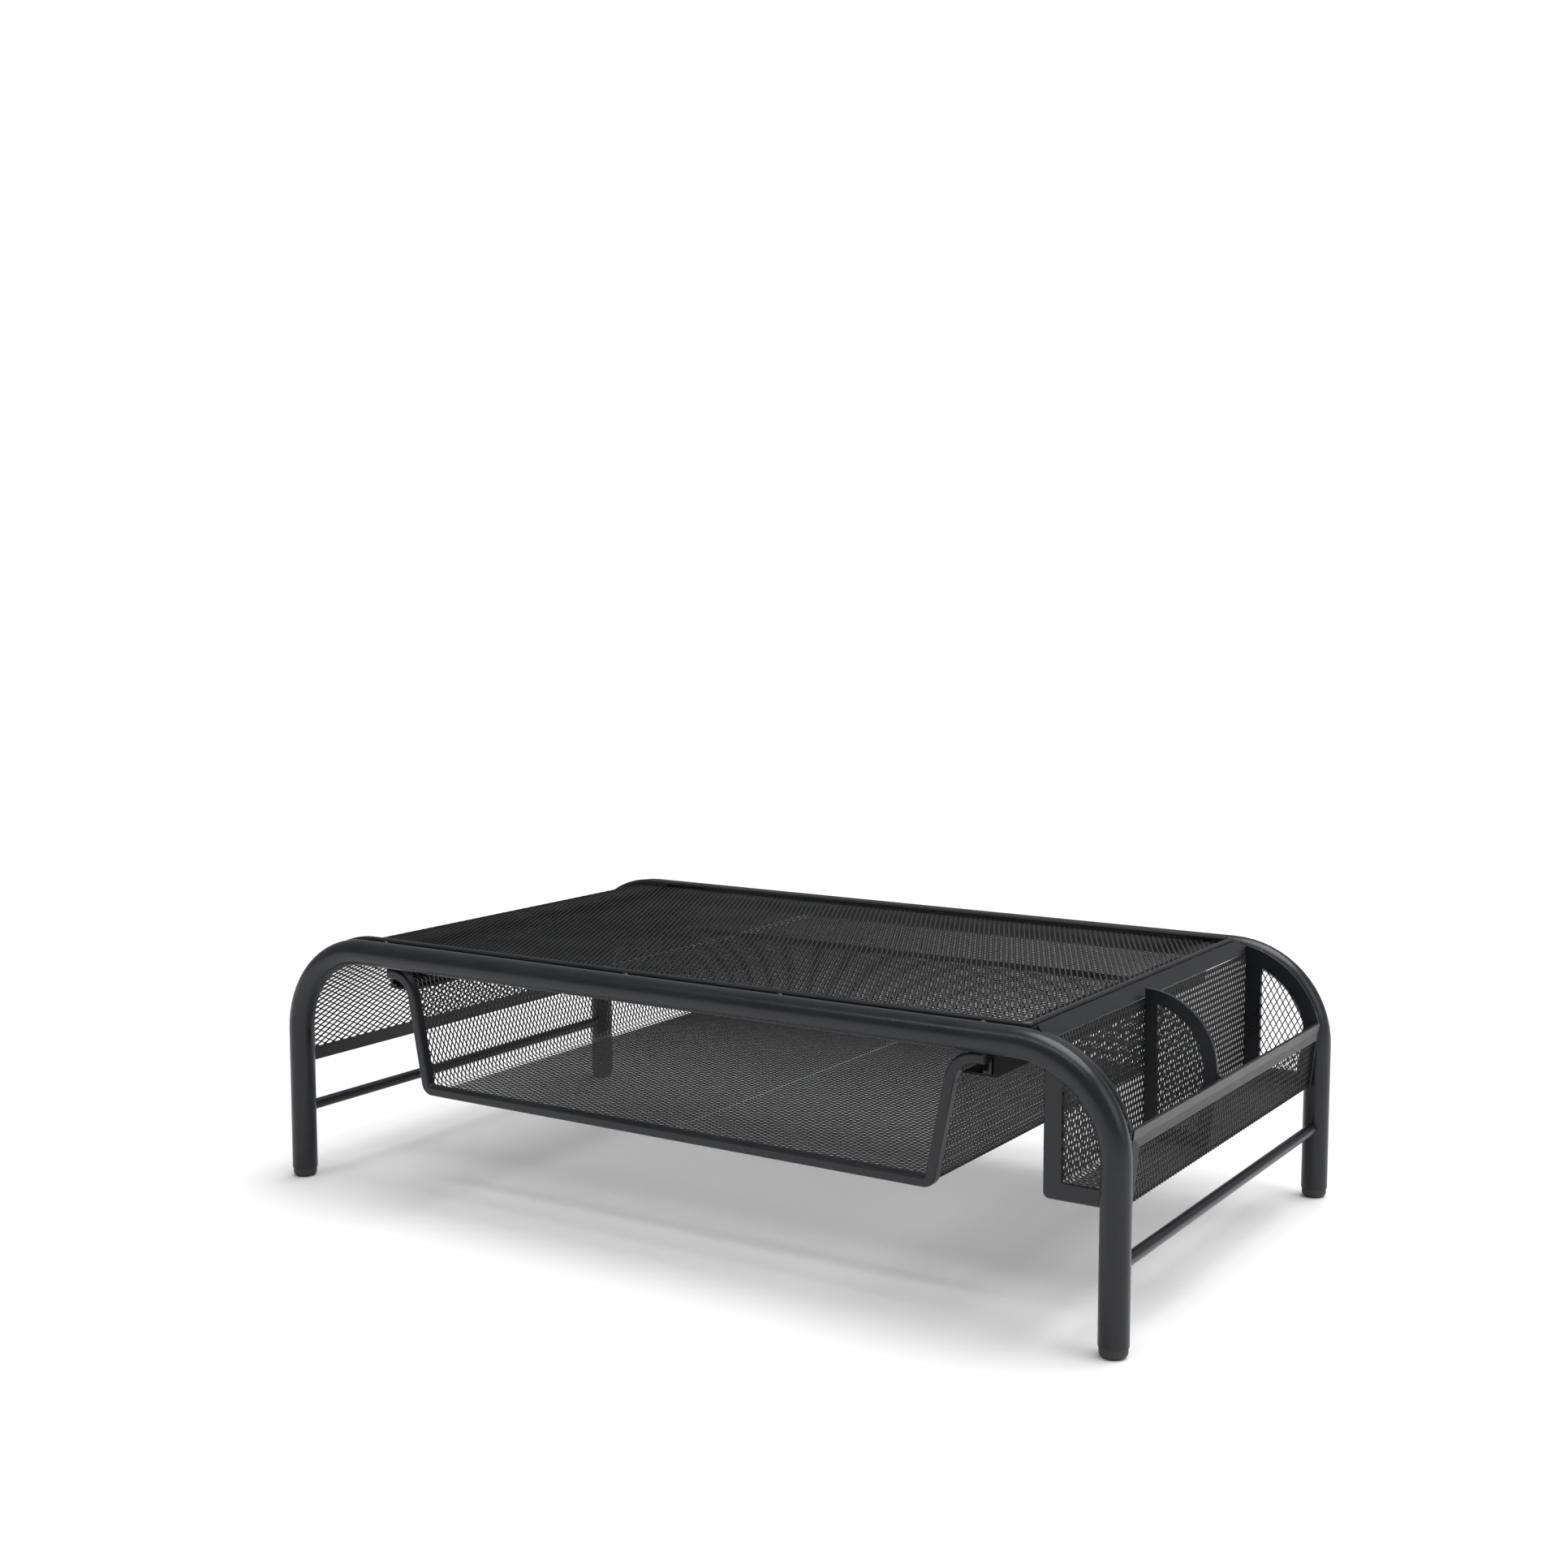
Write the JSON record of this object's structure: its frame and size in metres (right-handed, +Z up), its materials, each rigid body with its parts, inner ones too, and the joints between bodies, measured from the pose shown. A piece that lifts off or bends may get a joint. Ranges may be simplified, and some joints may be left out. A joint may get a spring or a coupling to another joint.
{
  "type": "monitor riser stand",
  "caption": "Steel mesh desk stand on bent tube legs, with a flat deck for a screen, a sliding tray drawer below it and an open pocket with a divider at the right side.",
  "frame": {"origin": "middle of the footprint, on the desk surface", "axes": "+X to the right along the deck, -Y out of the front where the drawer opens, +Z up"},
  "size_m": [0.509, 0.287, 0.1407],
  "materials": {
    "tube_coat": "black powder coat, satin",
    "strip_coat": "black powder coat, satin",
    "mesh_coat": "black powder coat on expanded steel mesh",
    "rail_coat": "black powder coat, matte",
    "weld_coat": "black powder coat over tack welds",
    "foot_plastic": "black moulded plastic"
  },
  "bodies": {
    "stand": {"front_tube_frame": "tube_coat", "rear_tube_frame": "tube_coat", "foot_front_left": "foot_plastic", "foot_front_right": "foot_plastic", "foot_rear_left": "foot_plastic", "foot_rear_right": "foot_plastic", "deck_mesh": "mesh_coat", "deck_rim": "strip_coat", "left_side_bar": "strip_coat", "left_cross_rod": "tube_coat", "right_cross_rod": "tube_coat", "pocket_tray_mesh": "mesh_coat", "pocket_inner_strip": "strip_coat", "pocket_front_frame": "strip_coat", "pocket_front_mesh": "mesh_coat", "pocket_rear_frame": "strip_coat", "pocket_rear_mesh": "mesh_coat", "pocket_divider_frame": "strip_coat", "pocket_divider_mesh": "mesh_coat", "pocket_outer_frame": "strip_coat", "rail_left": "rail_coat", "rail_right": "rail_coat", "deck_tack_welds": "weld_coat", "pocket_tack_welds": "weld_coat", "rail_tack_welds": "weld_coat"},
    "drawer": {"drawer_tray_mesh": "mesh_coat", "drawer_back_mesh": "mesh_coat", "drawer_back_rim": "strip_coat", "drawer_front_rim": "strip_coat", "drawer_runner_left": "strip_coat", "drawer_runner_right": "strip_coat"}
  },
  "joints": [
    {"name": "drawer_slide", "type": "slide", "parent": "stand", "child": "drawer", "axis": [0, -1, 0], "range_m": [0, 0.19]}
  ]
}
